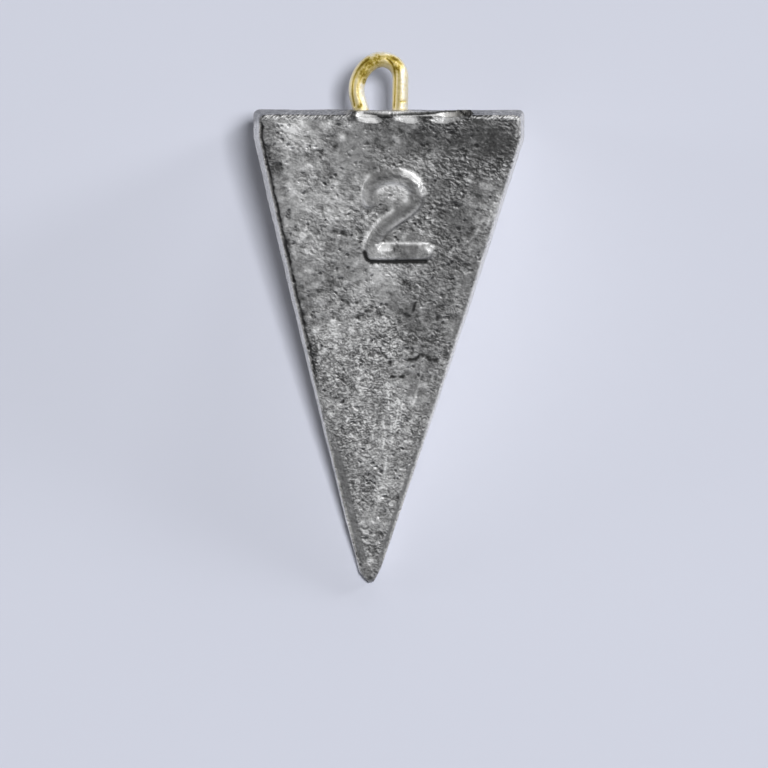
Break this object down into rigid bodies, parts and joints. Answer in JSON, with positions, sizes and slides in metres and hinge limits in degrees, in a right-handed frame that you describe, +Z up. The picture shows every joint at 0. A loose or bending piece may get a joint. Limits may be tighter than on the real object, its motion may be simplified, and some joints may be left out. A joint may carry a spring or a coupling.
{
  "type": "pyramid fishing sinker",
  "caption": "Cast lead fishing sinker in the form of a long square pyramid, with a bent brass wire eye cast into its wide end for tying it to a line.",
  "frame": {"origin": "middle of the part's outline from above, on the floor that the back face rests on", "axes": "+Z up, square to the back face the casting lies on; +Y towards the wide end and its wire eye; -Y towards the blunt tip; +X to the right when the wide end points away from you"},
  "size_m": [0.02, 0.0376, 0.0188],
  "materials": {
    "lead": "bare cast lead, dull grey, with a rough skin and worn bright edges",
    "brass": "bright drawn wire"
  },
  "bodies": {
    "root": {"lead_body": "lead", "wire_eye": "brass"}
  },
  "joints": []
}
